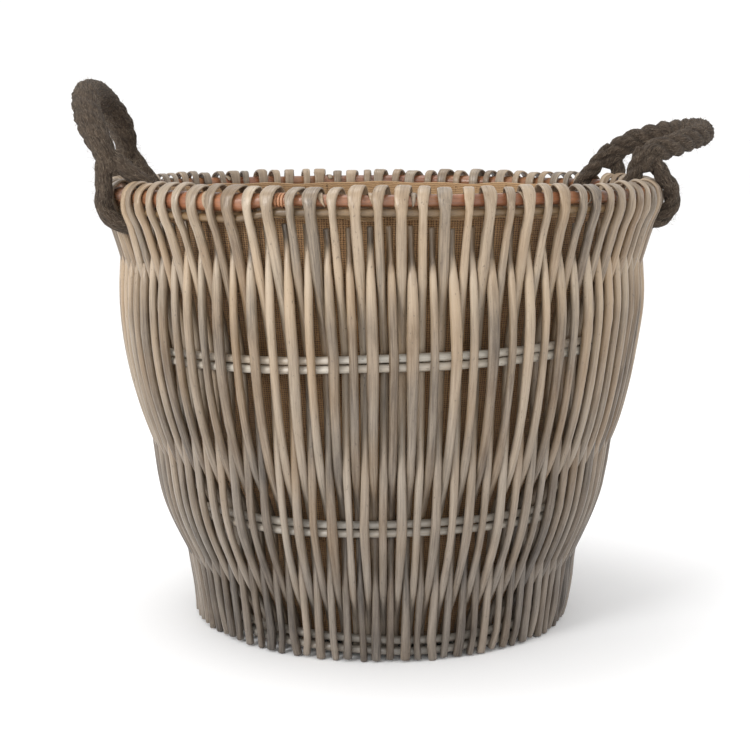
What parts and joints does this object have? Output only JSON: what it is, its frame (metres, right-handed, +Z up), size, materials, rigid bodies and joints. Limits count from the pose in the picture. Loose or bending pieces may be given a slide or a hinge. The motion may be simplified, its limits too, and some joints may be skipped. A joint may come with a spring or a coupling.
{
  "type": "laundry basket",
  "caption": "Round tapered willow basket woven on paired hoops, with a hessian lining and two spliced rope handles on the rim.",
  "frame": {"origin": "on the floor, at the middle of the basket's round base", "axes": "+Z up along the basket's axis, +X towards one rope handle, +Y across the handles"},
  "size_m": [0.5682, 0.5008, 0.482],
  "materials": {
    "willow": "grey-beige washed willow, matt",
    "rim_rod": "copper-brown barked willow, satin",
    "ring_willow": "pale peeled willow, matt",
    "batten": "sawn softwood, matt",
    "hessian": "coarse natural hessian",
    "rope": "dark tarred fibre rope, hairy"
  },
  "bodies": {
    "basket": {"looped_stakes_01": "willow", "looped_stakes_02": "willow", "looped_stakes_03": "willow", "looped_stakes_04": "willow", "looped_stakes_05": "willow", "looped_stakes_06": "willow", "looped_stakes_07": "willow", "looped_stakes_08": "willow", "looped_stakes_09": "willow", "looped_stakes_10": "willow", "looped_stakes_11": "willow", "looped_stakes_12": "willow", "looped_stakes_13": "willow", "looped_stakes_14": "willow", "looped_stakes_15": "willow", "looped_stakes_16": "willow", "looped_stakes_17": "willow", "looped_stakes_18": "willow", "foot_stakes_01": "willow", "foot_stakes_02": "willow", "foot_stakes_03": "willow", "foot_stakes_04": "willow", "foot_stakes_05": "willow", "foot_stakes_06": "willow", "foot_stakes_07": "willow", "foot_stakes_08": "willow", "foot_stakes_09": "willow", "foot_stakes_10": "willow", "foot_stakes_11": "willow", "foot_stakes_12": "willow", "foot_stakes_13": "willow", "foot_stakes_14": "willow", "foot_stakes_15": "willow", "foot_stakes_16": "willow", "foot_stakes_17": "willow", "foot_stakes_18": "willow", "rim_hoop": "rim_rod", "hoop_binding": "rim_rod", "under_rim_ring": "ring_willow", "upper_ring_top": "ring_willow", "upper_ring_bottom": "ring_willow", "lower_ring_top": "ring_willow", "lower_ring_bottom": "ring_willow", "base_ring_top": "ring_willow", "base_ring_bottom": "ring_willow", "base_batten_front": "batten", "base_batten_middle": "batten", "base_batten_back": "batten", "base_rods": "willow", "liner_side": "hessian", "liner_floor": "hessian", "liner_hem": "hessian"},
    "left_rope": {"handle_left": "rope"},
    "right_rope": {"handle_right": "rope"}
  },
  "joints": [
    {"name": "left_rope_swing", "type": "hinge", "parent": "basket", "child": "left_rope", "pos_m": [-0.22459, 0, 0.3817], "axis": [0, -1, 0], "range_deg": [-134, 121]},
    {"name": "right_rope_swing", "type": "hinge", "parent": "basket", "child": "right_rope", "pos_m": [0.22459, 0, 0.3817], "axis": [0, 1, 0], "range_deg": [-120, 88]}
  ]
}
